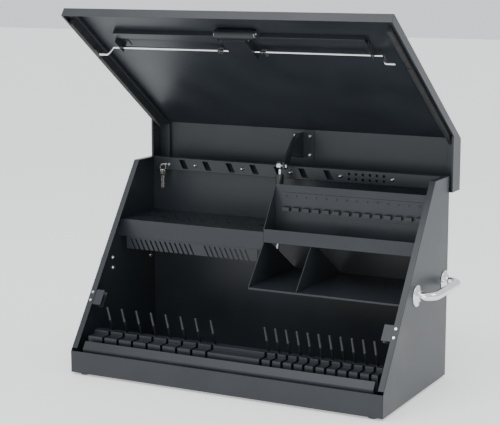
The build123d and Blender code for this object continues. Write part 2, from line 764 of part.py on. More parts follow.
# ---- lid shell ----
def lid_shell():
    """Skin of the lid with its back, front and side flanges and their return lips."""
    back_low = HINGE_Z + KNUCKLE_RADIUS + TURN_GAP
    front = on_lid(0, 0)
    front_low = on_lid(0, LID_SLOPE_FLANGE)
    skin_outline = [
        (LID_BACK_Y, back_low),
        (LID_BACK_Y, LID_TOP_Z),
        lid_knee(0),
        front,
        front_low,
        on_lid(SHEET, LID_SLOPE_FLANGE),
        on_lid(SHEET, SHEET),
        lid_knee(SHEET),
        (LID_BACK_Y - SHEET, LID_TOP_Z - SHEET),
        (LID_BACK_Y - SHEET, back_low),
    ]
    shell = prism(skin_outline, -LID_INSIDE, LID_INSIDE)
    flange_low = HINGE_Z
    turn = (flange_low - on_lid(0, LID_SLOPE_FLANGE)[1]) / SLOPE_SIN
    corner = on_lid(turn, LID_SLOPE_FLANGE)
    side_outline = [(LID_BACK_Y, flange_low), (LID_BACK_Y, LID_TOP_Z), lid_knee(0), front, front_low, corner]
    inner_corner = on_lid(turn + 0.4 * SHEET, LID_SLOPE_FLANGE - SHEET)
    lip_outline = [
        (LID_BACK_Y, flange_low),
        corner,
        front_low,
        on_lid(0, LID_SLOPE_FLANGE - SHEET),
        inner_corner,
        (LID_BACK_Y, flange_low + SHEET),
    ]
    for sign in (-1, 1):
        x0, x1 = sorted((sign * LID_INSIDE, sign * LID_HALF))
        shell = shell + prism(side_outline, x0, x1)
        x0, x1 = sorted((sign * (LID_INSIDE - LID_RETURN), sign * LID_INSIDE))
        shell = shell + prism(lip_outline, x0, x1)
    opening = lid_block(-HOUSING_HALF, HOUSING_HALF, HOUSING_START, HOUSING_END, -5, 5)
    return shell - opening


def lid_band(x0, x1, depth0, depth1, front_station, back_y):
    """Band that follows the inside of the lid from its front to its back."""
    outline = [
        on_lid(front_station, depth0),
        lid_knee(depth0),
        (back_y, LID_TOP_Z - depth0),
        (back_y, LID_TOP_Z - depth1),
        lid_knee(depth1),
        on_lid(front_station, depth1),
    ]
    return prism(outline, x0, x1)


def lid_channel():
    """Right stiffening channel along the edge of the lid."""
    x1 = LID_INSIDE
    x0 = x1 - CHANNEL_WIDTH
    back = LID_BACK_Y - SHEET - HINGE_LEAF - 2
    wall = CHANNEL_SHEET
    outer = lid_band(x0, x1, SHEET, SHEET + CHANNEL_DEPTH, 2 * SHEET, back)
    depth = SHEET + CHANNEL_DEPTH - wall
    inner = lid_band(x0 + wall, x1 - wall, SHEET, depth, 2 * SHEET + wall, back - wall)
    return outer - inner


def lid_seal():
    """Rubber strip on the right channel, facing the rim, relieved over the catch screws."""
    x0 = INSIDE - RIM_FLANGE + 2
    low = SHEET + CHANNEL_DEPTH
    high = LID_SLOPE_GAP - SEAL_GAP
    strip = lid_block(x0, x0 + SEAL_WIDTH, LID_OVERHANG + 12, LID_OVERHANG + SLOPE_LENGTH - 20, low, high)
    middle = ROD_STATION + CATCH_OFFSET
    reach = CATCH_SCREW_SPREAD + CATCH_SCREW_RADIUS + 4
    relief = high - CATCH_SCREW_HEAD - SEAL_GAP
    return strip - lid_block(x0 - 1, x0 + SEAL_WIDTH + 1, middle - reach, middle + reach, relief, high + 1)


def lid_rib(x0, x1):
    """Hat-shaped rib across the inside of the lid."""
    wall = CHANNEL_SHEET
    station0 = RIB_START
    station1 = RIB_START + RIB_WIDTH
    outer = lid_block(x0, x1, station0, station1, SHEET, SHEET + RIB_DEPTH)
    inner = lid_block(x0 - 1, x1 + 1, station0 + wall, station1 - wall, SHEET, SHEET + RIB_DEPTH - wall)
    return outer - inner


# ---- latch ----
def latch_housing():
    """Recessed latch box with its rim outside the lid and its spring barrel inside."""
    wall = HOUSING_WALL
    half = HOUSING_HALF
    s0 = HOUSING_START
    s1 = HOUSING_END
    box = lid_block(-half, half, s0, s1, 0, HOUSING_DEPTH)
    rim = lid_block(-half - HOUSING_RIM, half + HOUSING_RIM, s0 - HOUSING_RIM, s1 + HOUSING_RIM, -2, 0)
    hollow = lid_block(-half + wall, half - wall, s0 + wall, s1 - wall, -3, HOUSING_DEPTH - wall)
    barrel = rod_x(BARREL_LEFT_X, BARREL_RIGHT_X, *on_lid(BARREL_STATION, BARREL_DEPTH), BARREL_RADIUS)
    web = lid_block(-half, half, BARREL_STATION, s0 + wall, BARREL_DEPTH - 4, BARREL_DEPTH + 6)
    housing = box + rim + barrel + web - hollow
    rod_hole = rod_x(-half - 1, half + 1, *on_lid(ROD_STATION, ROD_DEPTH), ROD_RADIUS + ROD_HOLE_GAP)
    pin = on_lid(PADDLE_PIN_STATION, PADDLE_PIN_DEPTH)
    pin_hole = rod_x(-half - 1, half + 1, *pin, PADDLE_PIN_RADIUS + PIN_FIT)
    return housing - rod_hole - pin_hole


def barrel_screws():
    """Bright screw heads in both ends of the barrel."""
    point = on_lid(BARREL_STATION, BARREL_DEPTH)
    left = rod_x(BARREL_LEFT_X - 2, BARREL_LEFT_X, *point, BARREL_RADIUS - 3)
    right = rod_x(BARREL_RIGHT_X, BARREL_RIGHT_X + 2, *point, BARREL_RADIUS - 3)
    slot = rod_x(BARREL_RIGHT_X + 1, BARREL_RIGHT_X + 3, *point, 3.0)
    return left + (right - slot)


def paddle():
    """Pull plate in the latch box, with its hinge tube and turned finger edge."""
    half = HOUSING_HALF - HOUSING_WALL - PADDLE_GAP
    pin = on_lid(PADDLE_PIN_STATION, PADDLE_PIN_DEPTH)
    tube = rod_x(-half, half, *pin, PADDLE_PIN_RADIUS + 2)
    plate = lid_block(-half, half, PADDLE_PIN_STATION - 3, PADDLE_END, 1, 1 + PADDLE_THICKNESS)
    web = lid_block(-half, half, PADDLE_PIN_STATION - 3, PADDLE_PIN_STATION + 3, 2, PADDLE_PIN_DEPTH)
    edge = lid_block(-half, half, PADDLE_END - 3, PADDLE_END, 1, 8)
    body = plate + web + edge + tube
    body = body - rod_x(-half - 1, half + 1, *pin, PADDLE_PIN_RADIUS + PIN_FIT)
    return body - slope_disc(0, on_lid(PLUG_STATION, -1), 8, PLUG_RADIUS + PIN_FIT, outward=False)


def paddle_pin():
    """Pin of the paddle, with a head outside each wall of the box."""
    pin = on_lid(PADDLE_PIN_STATION, PADDLE_PIN_DEPTH)
    half = HOUSING_HALF + 0.2
    shank = rod_x(-half, half, *pin, PADDLE_PIN_RADIUS)
    left = rod_x(-half - 1.5, -half, *pin, PADDLE_PIN_RADIUS + 1.5)
    right = rod_x(half, half + 1.5, *pin, PADDLE_PIN_RADIUS + 1.5)
    return shank + left + right


def lock_plug():
    """Turning plug of the key lock, with its keyway."""
    plug = slope_disc(0, on_lid(PLUG_STATION, 0), PLUG_LENGTH, PLUG_RADIUS, outward=False)
    keyway = lid_block(-1.1, 1.1, PLUG_STATION - 4, PLUG_STATION + 4, -1, 6)
    return plug - keyway


def lock_cam():
    """Flat cam on the inner end of the plug."""
    depth = PLUG_LENGTH
    cam = slope_disc(0, on_lid(PLUG_STATION, depth), 2, 6, outward=False)
    return cam + lid_block(-5, 5, PLUG_STATION - 16, PLUG_STATION, depth, depth + 2)


def lock_rod():
    """Right locking rod, bent towards the body at its outer end."""
    y0, z0 = on_lid(ROD_STATION, ROD_DEPTH)
    y1, z1 = on_lid(ROD_STATION, ROD_END_DEPTH)
    bend_out = ROD_BEND_X + 8
    corners = [(ROD_INNER_X, y0, z0), (ROD_BEND_X, y0, z0), (bend_out, y1, z1), (ROD_END_X, y1, z1)]
    path = FilletPolyline(*corners, radius=6)
    section = Plane(origin=(ROD_INNER_X, y0, z0), z_dir=(1, 0, 0)) * Circle(ROD_RADIUS)
    return sweep(section, path=path)


def rod_clip():
    """Clip that ties the right rod to the latch, with its turned tab."""
    x0 = HOUSING_HALF + ROD_TRAVEL + 0.5
    x1 = x0 + CLIP_LENGTH
    reach = ROD_RADIUS + 1.5
    sleeve = lid_block(x0, x1, ROD_STATION - reach, ROD_STATION + reach, ROD_DEPTH - reach, ROD_DEPTH + reach)
    tab = lid_block(x1 - 5, x1, ROD_STATION, ROD_STATION + 12, ROD_DEPTH - 1.5, ROD_DEPTH + reach)
    return sleeve + tab - rod_x(x0 - 1, x1 + 1, *on_lid(ROD_STATION, ROD_DEPTH), ROD_RADIUS)


def rod_guide():
    """Bracket on the lid with a hole that guides the right rod."""
    x0 = GUIDE_X - GUIDE_THICKNESS / 2
    x1 = GUIDE_X + GUIDE_THICKNESS / 2
    low = RIB_START + RIB_WIDTH + 1
    high = ROD_STATION + 8
    plate = lid_block(x0, x1, low, high, SHEET, ROD_DEPTH + 8)
    foot = lid_block(x0 - 16, x1, low, high, SHEET, 2 * SHEET)
    return plate + foot - rod_x(x0 - 1, x1 + 1, *on_lid(ROD_STATION, ROD_DEPTH), ROD_RADIUS + ROD_HOLE_GAP)


# ---- gas strut ----
def strut_direction():
    dy = STRUT_TOP[0] - STRUT_FOOT[0]
    dz = STRUT_TOP[1] - STRUT_FOOT[1]
    length = math.hypot(dy, dz)
    return dy / length, dz / length, length


def along_strut(distance):
    """Point on the strut's axis, measured down from its top pivot."""
    dy, dz, _ = strut_direction()
    return (STRUT_X, STRUT_TOP[0] - dy * distance, STRUT_TOP[1] - dz * distance)


def strut_tube():
    """Pressure tube, hollow, with a top cap and a guide for the rod at its foot."""
    start = STRUT_NECK
    end = STRUT_NECK + STRUT_TUBE_LENGTH
    tube = rod_between(along_strut(end), along_strut(start), STRUT_TUBE_RADIUS)
    inner = STRUT_TUBE_RADIUS - STRUT_WALL
    hollow = rod_between(along_strut(end - STRUT_GUIDE), along_strut(start + STRUT_CAP), inner)
    bore = rod_between(along_strut(end + 1), along_strut(end - STRUT_GUIDE - 1), STRUT_ROD_RADIUS + PIN_FIT)
    return tube - hollow - bore


def strut_top_end():
    """Neck, eye and stud at the top of the tube. The stud stops short of the arm."""
    neck = rod_between(along_strut(STRUT_NECK), along_strut(STRUT_EYE_RADIUS - 2), 3.5)
    half = STRUT_EYE_WIDTH / 2
    eye = rod_x(STRUT_X - half, STRUT_X + half, *STRUT_TOP, STRUT_EYE_RADIUS)
    stud = rod_x(STRUT_X, -ARM_THICKNESS / 2 - TURN_GAP, *STRUT_TOP, PIVOT_RADIUS)
    return neck + eye + stud


def strut_rod():
    """Rod with its piston, and the eye at its foot that turns on the lower stud."""
    _, _, length = strut_direction()
    top = STRUT_NECK + STRUT_TUBE_LENGTH - STRUT_GUIDE - 0.7
    rod = rod_between(along_strut(length - STRUT_EYE_RADIUS + 2), along_strut(top), STRUT_ROD_RADIUS)
    piston_radius = STRUT_TUBE_RADIUS - STRUT_WALL - PIN_FIT
    piston = rod_between(along_strut(top), along_strut(top - PISTON_HEIGHT), piston_radius)
    half = STRUT_EYE_WIDTH / 2
    eye = rod_x(STRUT_X - half, STRUT_X + half, *STRUT_FOOT, STRUT_EYE_RADIUS)
    bore = rod_x(STRUT_X - half - 1, STRUT_X + half + 1, *STRUT_FOOT, PIVOT_RADIUS + PIN_FIT)
    return rod + piston + eye - bore


def strut_foot_stud():
    """Stud on the side of the bin that carries the strut, with a flange and a head."""
    half = STRUT_EYE_WIDTH / 2
    stud = rod_x(STRUT_X - half - TURN_GAP, PARTITION_X, *STRUT_FOOT, PIVOT_RADIUS)
    flange = rod_x(STRUT_X + half + TURN_GAP, PARTITION_X, *STRUT_FOOT, PIVOT_RADIUS + 3)
    head = rod_x(STRUT_X - half - TURN_GAP - 1.5, STRUT_X - half - TURN_GAP, *STRUT_FOOT, PIVOT_RADIUS + 2)
    return stud + flange + head


def strut_arm():
    """Arm that bends over the back rack, with its foot on the flat of the lid (drawn open)."""
    face = HINGE_Y + (LID_TOP_Z - HINGE_Z) - SHEET
    foot = face - 3
    top_y, top_z = STRUT_TOP
    outline = [
        (foot, HINGE_Z + 48),
        (foot, HINGE_Z + 108),
        (HINGE_Y + 8, HINGE_Z + 108),
        (HINGE_Y - 17, HINGE_Z + 92),
        (top_y - 9, top_z + 8),
        (top_y - 9, top_z - 7),
        (top_y + 4, top_z - 9),
        (HINGE_Y - 18, HINGE_Z + 60),
        (HINGE_Y + 12, HINGE_Z + 52),
    ]
    half = ARM_THICKNESS / 2
    plate = prism(outline, -half, half)
    rounded = [edge for edge in plate.edges().filter_by(Axis.X) if edge.center().Y < foot - 1]
    plate = fillet(rounded, 4)
    base = block(-28, 28, foot, face, HINGE_Z + 44, HINGE_Z + 112)
    return plate + base


def arm_screws():
    """Screw heads on the arm's foot, and the nut of the top stud (drawn open)."""
    foot = HINGE_Y + (LID_TOP_Z - HINGE_Z) - SHEET - 3
    pieces = []
    for x in (-19, 19):
        for dz in (56, 100):
            pieces.append(Pos(x, foot - 1.2, HINGE_Z + dz) * Rot(90, 0, 0) * Cone(4.5, 3, 2.4))
    half = ARM_THICKNESS / 2
    nut = Plane(origin=(half, *STRUT_TOP), z_dir=(1, 0, 0)) * extrude(RegularPolygon(6.5, 6), amount=4)
    return joined(pieces + [nut])


# ---- keys ----
def key_hook():
    """Small hook on the back rack that the key ring hangs from."""
    z = TOP_Z - KEY_HOOK_DROP
    boss = rod_y(KEY_HOOK_X + 13, RAIL_Y - 3, RAIL_Y, z, 3)
    arm = block(KEY_HOOK_X - 1, KEY_HOOK_X + 13, RAIL_Y - 2, RAIL_Y, z - 1.5, z + 1.5)
    pin = rod_y(KEY_HOOK_X, RAIL_Y - 15, RAIL_Y - 1, z, KEY_HOOK_RADIUS)
    stop = rod_y(KEY_HOOK_X, RAIL_Y - 16.5, RAIL_Y - 15, z, KEY_HOOK_RADIUS + 1.2)
    return boss + arm + pin + stop


def ring_centre():
    z = TOP_Z - KEY_HOOK_DROP + KEY_HOOK_RADIUS + PIN_FIT + RING_WIRE - RING_RADIUS
    return (KEY_HOOK_X, RAIL_Y - 9, z)


def key_ring():
    return Pos(*ring_centre()) * Rot(90, 0, 0) * Torus(RING_RADIUS, RING_WIRE)


def key(side):
    """Flat key hanging edge on from the bottom of the ring."""
    x = KEY_HOOK_X + side * KEY_SPREAD
    _, y, centre_z = ring_centre()
    hole_z = centre_z - RING_RADIUS - 1.5
    head = block(x - 1, x + 1, y - 7, y + 7, hole_z - 11, hole_z + 5)
    head = fillet(head.edges().filter_by(Axis.X), 4.5)
    blade = block(x - 1, x + 1, y - 3, y + 3, hole_z - 41, hole_z - 10)
    body = head + blade
    for k in range(4):
        z = hole_z - 18 - 5 * k
        body = body - block(x - 2, x + 2, y + 1.4 - 0.4 * (k % 2), y + 4, z - 1.5, z + 1.5)
    return body - rod_x(x - 2, x + 2, y, hole_z, 3.2)


os.makedirs("parts", exist_ok=True)

save("body_wrap", body_wrap())
save("side_panel_right", side_panel())
save("side_panel_left", mirrored(side_panel()))
save("rubber_feet", feet())
save("back_rail", back_rail())
save("back_rail_studs", rail_studs())
save("left_shelf", shelf())
save("finger_comb", comb())
save("right_tray", tray())
save("tray_tool_rail", tool_rail())
save("bin_floor", bin_floor())
save("bin_side", bin_side())
save("bin_divider", bin_divider())
save("bin_screws", bin_screws())
save("rack_front_strip", rack_strip())
save("wrench_rack", wrench_rack())
save("rack_pegs_left", pegs(left_peg_places()))
save("rack_pegs_right", pegs(right_peg_places()))
save("rack_screws", rack_screws())
for side, turn in (("right", lambda s: s), ("left", mirrored)):
    save("handle_" + side, turn(handle()))
    save("handle_rosettes_" + side, turn(rosettes()))
    save("catch_" + side, turn(catch()))
    save("lid_channel_" + side, opened(turn(lid_channel())))
    save("lid_seal_" + side, opened(turn(lid_seal())))
    save("lock_rod_" + side, opened(turn(lock_rod())))
    save("rod_clip_" + side, opened(turn(rod_clip())))
    save("rod_guide_" + side, opened(turn(rod_guide())))
save("handle_bolts", handle_bolts() + mirrored(handle_bolts()))
save("catch_screws", catch_screws() + mirrored(catch_screws()))
save("hinge_body_leaf", hinge_body_leaf())
save("hinge_lid_leaf", opened(hinge_lid_leaf()))
save("hinge_pin", hinge_pin())
save("lid_shell", opened(lid_shell()))
save("lid_rib_left", opened(lid_rib(-GUIDE_X + 2, BARREL_LEFT_X - 6)))
save("lid_rib_right", opened(lid_rib(BARREL_RIGHT_X + 6, GUIDE_X - 2)))
save("latch_housing", opened(latch_housing()))
save("latch_barrel_screws", opened(barrel_screws()))
save("latch_paddle", opened(paddle()))
save("latch_paddle_pin", opened(paddle_pin()))
save("lock_plug", opened(lock_plug()))
save("lock_cam", opened(lock_cam()))
save("strut_tube", strut_tube())
save("strut_top_end", strut_top_end())
save("strut_rod", strut_rod())
save("strut_foot_stud", strut_foot_stud())
save("strut_arm", strut_arm())
save("strut_arm_screws", arm_screws())
save("key_hook", key_hook())
save("key_ring", key_ring())
save("key_front", key(1))
save("key_back", key(-1))
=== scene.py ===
import json
import math

import bmesh
import bpy
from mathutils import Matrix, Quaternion, Vector

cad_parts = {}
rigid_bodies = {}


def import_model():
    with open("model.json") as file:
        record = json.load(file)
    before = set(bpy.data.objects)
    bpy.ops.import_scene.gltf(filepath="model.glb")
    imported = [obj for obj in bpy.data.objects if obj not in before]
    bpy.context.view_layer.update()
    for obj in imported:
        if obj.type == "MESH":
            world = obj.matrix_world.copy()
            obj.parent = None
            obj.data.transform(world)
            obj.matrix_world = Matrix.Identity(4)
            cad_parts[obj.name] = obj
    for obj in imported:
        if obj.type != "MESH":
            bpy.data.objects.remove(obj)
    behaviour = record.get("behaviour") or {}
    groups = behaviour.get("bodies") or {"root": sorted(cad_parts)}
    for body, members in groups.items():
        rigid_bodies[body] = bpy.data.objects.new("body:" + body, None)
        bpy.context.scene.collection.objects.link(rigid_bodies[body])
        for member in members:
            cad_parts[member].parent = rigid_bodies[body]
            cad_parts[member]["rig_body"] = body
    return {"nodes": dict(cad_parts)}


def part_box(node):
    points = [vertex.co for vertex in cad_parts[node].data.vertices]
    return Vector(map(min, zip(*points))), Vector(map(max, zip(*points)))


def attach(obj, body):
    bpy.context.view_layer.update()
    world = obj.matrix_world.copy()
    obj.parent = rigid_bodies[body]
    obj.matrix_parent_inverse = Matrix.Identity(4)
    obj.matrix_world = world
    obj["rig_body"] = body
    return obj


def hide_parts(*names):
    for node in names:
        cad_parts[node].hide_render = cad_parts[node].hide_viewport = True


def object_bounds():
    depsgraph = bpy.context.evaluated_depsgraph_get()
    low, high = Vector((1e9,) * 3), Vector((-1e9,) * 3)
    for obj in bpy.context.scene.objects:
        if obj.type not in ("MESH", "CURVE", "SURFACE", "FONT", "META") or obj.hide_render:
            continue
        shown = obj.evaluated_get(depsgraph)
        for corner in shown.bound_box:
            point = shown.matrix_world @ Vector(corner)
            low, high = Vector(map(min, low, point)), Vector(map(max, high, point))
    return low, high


bl_info = {
    "name": "Wedge Tool Box",
    "version": (1, 0, 0),
    "blender": (4, 5, 0),
    "location": "View3D > Sidebar > Tool Box",
    "description": "Finishes a portable steel tool box with an open lid, and its studio",
    "category": "Add Mesh",
}

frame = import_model()
CAD_BOX = [list(corner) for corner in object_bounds()]

MM = 0.001
UP = Vector((0, 0, 1))
MERGE_DISTANCE = 0.01 * MM
FLAT_ANGLE = math.radians(1.0)    # facets closer than this are one flat face
ROUND_ANGLE = math.radians(32.0)  # edges sharper than this are rounded
SHEET_LIMIT = 5.2 * MM            # faces narrower than this are the cut edge of a sheet

# Rounding on the pieces that aren't plain sheet.
LATCH_FOLD = 0.8 * MM
SMALL_FOLD, SMALL_EDGE = 0.25 * MM, 0.2 * MM
ARM_FOLD, ARM_EDGE = 0.45 * MM, 0.3 * MM
TUBE_FOLD, TUBE_EDGE = 0.9 * MM, 0.5 * MM

# Rows and round pieces that are drawn again at the size they have in the CAD.
PEG_COUNTS = {"rack_pegs_left": 8, "rack_pegs_right": 11}
PEG_RADIUS = 2.5 * MM
RAIL_STUD_COUNT = 5
HEX_CORNER = 1.155  # across the corners of a hexagon over across its flats
BOLT_RADIUS = 6 * MM
BOLT_HEIGHT = 4.4 * MM
FOOT_RADIUS = 12 * MM
FOOT_FLANGE_RADIUS = 15 * MM

# Which nodes are bent sheet, bar stock and small hardware, and the finish of each.
SHEET_PIECES = (
    "body_wrap", "side_panel_right", "side_panel_left", "back_rail", "left_shelf", "finger_comb",
    "right_tray", "tray_tool_rail", "bin_floor", "bin_side", "bin_divider", "rack_front_strip",
    "wrench_rack", "catch_left", "catch_right",
    "lid_shell", "lid_channel_left", "lid_channel_right", "lid_rib_left", "lid_rib_right",
    "rod_guide_left", "rod_guide_right",
)
LATCH_PIECES = {
    "latch_housing": "latch_black", "latch_paddle": "chrome", "lock_plug": "nickel", "lock_cam": "zinc",
}
CHROME_PIECES = ("lock_rod_left", "lock_rod_right", "strut_rod")
ZINC_PIECES = (
    "hinge_body_leaf", "hinge_lid_leaf", "hinge_pin", "latch_barrel_screws", "latch_paddle_pin",
    "rod_clip_left", "rod_clip_right", "strut_foot_stud", "strut_top_end", "strut_arm_screws",
    "key_hook", "bin_screws", "rack_screws", "catch_screws",
)
KEY_PIECES = ("key_front", "key_back")
RUBBER_PIECES = ("lid_seal_left", "lid_seal_right")


# ---- settings ----
class ToolBoxFinish(bpy.types.PropertyGroup):
    """Sizes and colours of the box's own finish."""

    fold_radius: bpy.props.FloatProperty(
        name="Fold radius",
        description="Outer radius of the folds in the sheet steel",
        default=1.0 * MM,
        unit="LENGTH",
    )
    edge_radius: bpy.props.FloatProperty(
        name="Edge radius", description="Rounding on cut sheet edges", default=0.45 * MM, unit="LENGTH"
    )
    coat_colour: bpy.props.FloatVectorProperty(
        name="Coat colour",
        description="Colour of the powder coat",
        default=(0.0155, 0.0185, 0.0225),
        subtype="COLOR",
    )
    coat_grain: bpy.props.FloatProperty(
        name="Coat grain",
        description="Size of the dimples in the powder coat",
        default=1.3 * MM,
        unit="LENGTH",
    )
    chrome_colour: bpy.props.FloatVectorProperty(
        name="Chrome colour",
        description="Colour of the plated bars",
        default=(0.86, 0.87, 0.89),
        subtype="COLOR",
    )
    zinc_colour: bpy.props.FloatVectorProperty(
        name="Zinc colour",
        description="Colour of the screws and small hardware",
        default=(0.70, 0.71, 0.72),
        subtype="COLOR",
    )


class ToolBoxSizes(bpy.types.PropertyGroup):
    """Sizes of the pieces that are drawn again with more detail."""

    handle_bend: bpy.props.FloatProperty(
        name="Handle bend",
        description="Radius of the bends in the handle bar",
        default=28 * MM,
        unit="LENGTH",
    )
    dome_height: bpy.props.FloatProperty(
        name="Nut dome",
        description="Height of the dome on the rail's nuts",
        default=4.0 * MM,
        unit="LENGTH",
    )
    ring_gap: bpy.props.FloatProperty(
        name="Ring coil pitch",
        description="Distance between the two turns of the key ring",
        default=0.8 * MM,
        unit="LENGTH",
    )


class ToolBoxStudio(bpy.types.PropertyGroup):
    """Light and camera."""

    lens: bpy.props.FloatProperty(
        name="Lens",
        description="Focal length on a 36 mm sensor",
        default=104.7,
        subtype="DISTANCE_CAMERA",
    )
    azimuth: bpy.props.FloatProperty(
        name="Azimuth",
        description="How far the camera stands round to the right",
        default=math.radians(27.28),
        subtype="ANGLE",
    )
    elevation: bpy.props.FloatProperty(
        name="Elevation",
        description="How far the camera looks down",
        default=math.radians(9.94),
        subtype="ANGLE",
    )
    distance: bpy.props.FloatProperty(
        name="Distance", description="From the camera to its target", default=3.239, unit="LENGTH"
    )
    key_power: bpy.props.FloatProperty(
        name="Key light", description="Power of the large overhead light", default=48.0, subtype="POWER"
    )
    side_power: bpy.props.FloatProperty(
        name="Side light", description="Power of the light at the right", default=10.0, subtype="POWER"
    )
    fill_power: bpy.props.FloatProperty(
        name="Fill light", description="Power of the light in front", default=15.0, subtype="POWER"
    )
    surround: bpy.props.FloatProperty(
        name="Surround", description="Brightness of the plain surround", default=1.1
    )


# ---- meshes ----
def mesh_from(name, form):
    mesh = bpy.data.meshes.new(name)
    form.to_mesh(mesh)
    form.free()
    return mesh


def piece_from(name, mesh, finish, body, replaced=()):
    """Put a finished mesh in the scene as a piece of the object."""
    mesh.materials.clear()
    mesh.materials.append(finish)
    piece = bpy.data.objects.new(name, mesh)
    bpy.context.scene.collection.objects.link(piece)
    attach(piece, body)
    if replaced:
        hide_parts(*replaced)
    return piece


def narrowness(face):
    """Width of a face that is a thin strip, and more for a broad one."""
    around = sum(edge.calc_length() for edge in face.edges)
    return 2 * face.calc_area() / around


def merged_copy(node):
    """The node's solid with its loose triangles joined up and its flat faces made whole."""
    form = bmesh.new()
    form.from_mesh(frame["nodes"][node].data)
    bmesh.ops.remove_doubles(form, verts=form.verts, dist=MERGE_DISTANCE)
    bmesh.ops.dissolve_limit(form, angle_limit=FLAT_ANGLE, verts=form.verts, edges=form.edges)
    for face in form.faces:
        face.smooth = True
    return form


def weigh_edges(form, fold, edge_round):
    """Weight each sharp edge: folds between broad faces are rounder than cut edges."""
    weights = form.edges.layers.float.new("bevel_weight_edge")
    for edge in form.edges:
        if len(edge.link_faces) != 2 or edge.calc_face_angle(0) < ROUND_ANGLE:
            continue
        broad = min(narrowness(face) for face in edge.link_faces) > SHEET_LIMIT
        if broad and edge.is_convex:
            edge[weights] = 1.0
        else:
            edge[weights] = edge_round / fold


def evaluated_mesh(name, holder):
    """Mesh of a helper object with its modifiers applied. The helper is removed."""
    graph = bpy.context.evaluated_depsgraph_get()
    mesh = bpy.data.meshes.new_from_object(
        holder.evaluated_get(graph), preserve_all_data_layers=True, depsgraph=graph
    )
    mesh.name = name
    blank = holder.data
    bpy.data.objects.remove(holder)
    bpy.data.meshes.remove(blank)
    return mesh


def rounded_mesh(node, fold, edge_round, segments):
    """Copy of a node with rounded folds and edges, shaded flat where it is flat."""
    form = merged_copy(node)
    weigh_edges(form, fold, edge_round)
    holder = bpy.data.objects.new(node + "_blank", mesh_from(node + "_blank", form))
    bpy.context.scene.collection.objects.link(holder)
    bevel = holder.modifiers.new("Rounding", "BEVEL")
    bevel.limit_method = "WEIGHT"
    bevel.offset_type = "OFFSET"
    bevel.width = fold
    bevel.segments = segments
    bevel.use_clamp_overlap = False
    bevel.miter_outer = "MITER_ARC"
    normals = holder.modifiers.new("Flat faces lead", "WEIGHTED_NORMAL")
    normals.mode = "FACE_AREA"
    normals.weight = 100
    normals.keep_sharp = True
    return evaluated_mesh(node, holder)


def finish_node(node, finish, fold, edge_round, segments=2):
    """Replace a node with its rounded copy, on the same body."""
    mesh = rounded_mesh(node, fold, edge_round, segments)
    body = frame["nodes"][node]["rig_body"]
    return piece_from(node + "_finished", mesh, finish, body, (node,))


def ring_of_points(centre, u, v, radius, count):
    angles = (2 * math.pi * k / count for k in range(count))
    return [centre + radius * (math.cos(t) * u + math.sin(t) * v) for t in angles]


def tube_mesh(name, path, radius, count):
    """Round bar along a path, closed at both ends."""
    form = bmesh.new()
    rings = []
    tangent = (path[1] - path[0]).normalized()
    side = tangent.orthogonal().normalized()
    for k, point in enumerate(path):
        ahead = path[min(k + 1, len(path) - 1)]
        behind = path[max(k - 1, 0)]
        tangent = (ahead - behind).normalized()
        side = (side - side.dot(tangent) * tangent).normalized()
        points = ring_of_points(point, side, tangent.cross(side), radius, count)
        rings.append([form.verts.new(p) for p in points])
    for low, high in zip(rings, rings[1:]):
        for k in range(count):
            form.faces.new((low[k], low[(k + 1) % count], high[(k + 1) % count], high[k]))
    form.faces.new(list(reversed(rings[0])))
    form.faces.new(rings[-1])
    for face in form.faces:
        face.smooth = len(face.verts) == 4
    bmesh.ops.recalc_face_normals(form, faces=form.faces)
    return mesh_from(name, form)


def bent_path(corners, radius, steps):
    """Path through corners with a tangent arc of one radius at each inner corner."""
    path = [corners[0]]
    for before, corner, after in zip(corners, corners[1:], corners[2:]):
        back = (before - corner).normalized()
        on = (after - corner).normalized()
        half = back.angle(on) / 2
        centre = corner + (back + on).normalized() * radius / math.sin(half)
        start = corner + back * radius / math.tan(half)
        end = corner + on * radius / math.tan(half)
        turn = (start - centre).rotation_difference(end - centre)
        for k in range(steps + 1):
            path.append(centre + Quaternion().slerp(turn, k / steps) @ (start - centre))
    path.append(corners[-1])
    return path


def lathe(form, origin, axis, profile, count):
    """Turn a profile of (distance along the axis, radius) points into a closed round piece."""
    u = axis.orthogonal().normalized()
    v = axis.cross(u)
    rings = []
    for along, radius in profile:
        centre = origin + axis * along
        if radius <= 0:
            rings.append([form.verts.new(centre)])
        else:
            rings.append([form.verts.new(p) for p in ring_of_points(centre, u, v, radius, count)])
    for low, high in zip(rings, rings[1:]):
        for k in range(count):
            near, far = k, k + 1
            corners = [low[near % len(low)], low[far % len(low)]]
            corners += [high[far % len(high)], high[near % len(high)]]
            face = form.faces.new(list(dict.fromkeys(corners)))
            face.smooth = True


def closed(form):
    """The same form with its faces turned outward."""
    bmesh.ops.recalc_face_normals(form, faces=form.faces)
    return form


# ---- finishes ----
def new_material(name):
    material = bpy.data.materials.new(name)
    material.use_nodes = True
    tree = material.node_tree
    shader = tree.nodes["Principled BSDF"]
    return material, tree, shader


def coordinates(tree):
    return tree.nodes.new("ShaderNodeTexCoord").outputs["Object"]


def noise(tree, scale, detail=2.0, roughness=0.5):
    node = tree.nodes.new("ShaderNodeTexNoise")
    node.inputs["Scale"].default_value = scale
    node.inputs["Detail"].default_value = detail
    node.inputs["Roughness"].default_value = roughness
    tree.links.new(coordinates(tree), node.inputs["Vector"])
    return node.outputs["Fac"]


def ranged(tree, value, low, high):
    """Map a noise from its middle band to a range."""
    node = tree.nodes.new("ShaderNodeMapRange")
    node.inputs["From Min"].default_value = 0.3
    node.inputs["From Max"].default_value = 0.7
    node.inputs["To Min"].default_value = low
    node.inputs["To Max"].default_value = high
    tree.links.new(value, node.inputs["Value"])
    return node.outputs["Result"]


